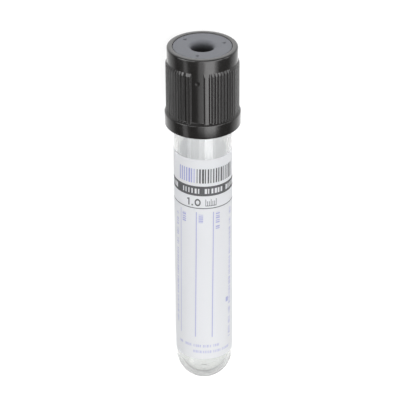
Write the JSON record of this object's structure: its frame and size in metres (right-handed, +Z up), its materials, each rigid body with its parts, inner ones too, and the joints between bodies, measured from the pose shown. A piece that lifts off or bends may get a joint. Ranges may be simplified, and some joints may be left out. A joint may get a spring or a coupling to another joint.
{
  "type": "blood collection tube",
  "caption": "Clear round-bottomed plastic blood collection tube with a wrapped film label and a ribbed black cap shell round a grey pierceable rubber stopper, lying on its side.",
  "frame": {"origin": "on the surface the tube lies on, below the middle of its bounding box", "axes": "+Z up, +Y from the round bottom to the closure, +X across; the tube's own axis rises 1.85 degrees from +Y towards the closure, because the flange of the cap is wider than the tube"},
  "size_m": [0.0166, 0.0842, 0.0168],
  "materials": {
    "cap_shell": "glossy black injection-moulded plastic",
    "label": "white printed film with a soft sheen",
    "stopper": "matt cool grey rubber",
    "tube": "clear colourless moulded plastic"
  },
  "bodies": {
    "tube_body": {"tube": "tube", "label": "label"},
    "closure": {"cap_shell": "cap_shell", "stopper": "stopper"}
  },
  "joints": [
    {"name": "closure_pull", "type": "slide", "parent": "tube_body", "child": "closure", "axis": [0, 0.9995, 0.0322], "range_m": [0, 0.02]}
  ]
}
